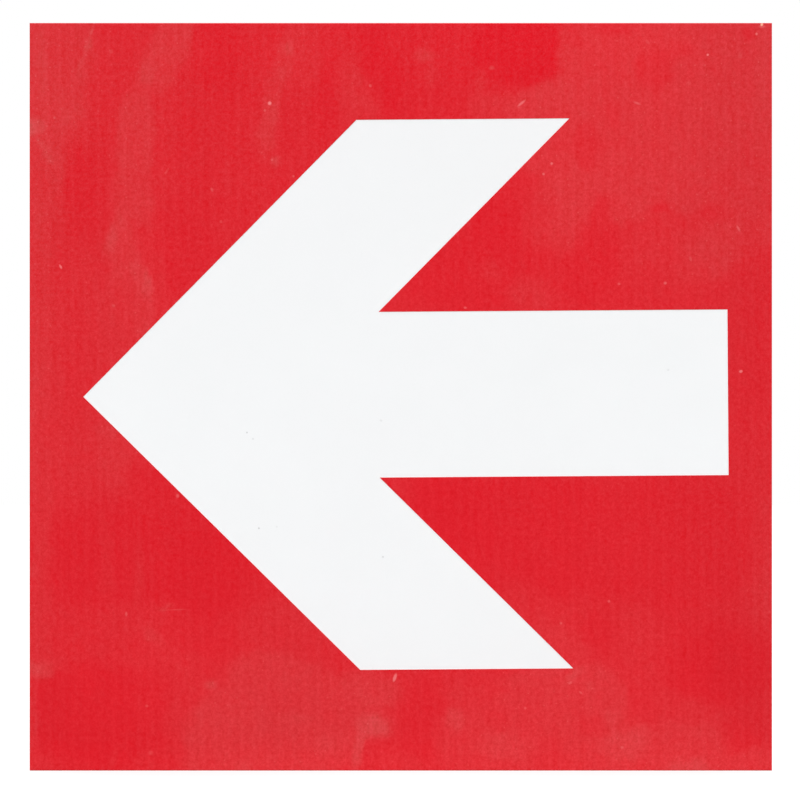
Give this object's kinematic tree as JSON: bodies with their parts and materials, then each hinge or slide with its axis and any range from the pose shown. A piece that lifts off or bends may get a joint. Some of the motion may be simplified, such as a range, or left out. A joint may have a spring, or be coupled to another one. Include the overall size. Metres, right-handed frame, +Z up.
{
  "type": "arrow sign",
  "caption": "Flat square wall sign of white plastic: a red face with a broad white arrow that points left, and a plain flat back that fixes to a wall.",
  "frame": {"origin": "centre of the flat back, in the plane of the wall", "axes": "+Z up, the face looks along -Y and the back along +Y, and the arrow points along -X"},
  "size_m": [0.1994, 0.0021, 0.2006],
  "materials": {
    "white_plastic": "satin white rigid sheet",
    "red_layer": "satin red printed layer with faint upright bands and pale cloudy marks"
  },
  "bodies": {
    "root": {"plate": "white_plastic", "red_field": "red_layer"}
  },
  "joints": []
}
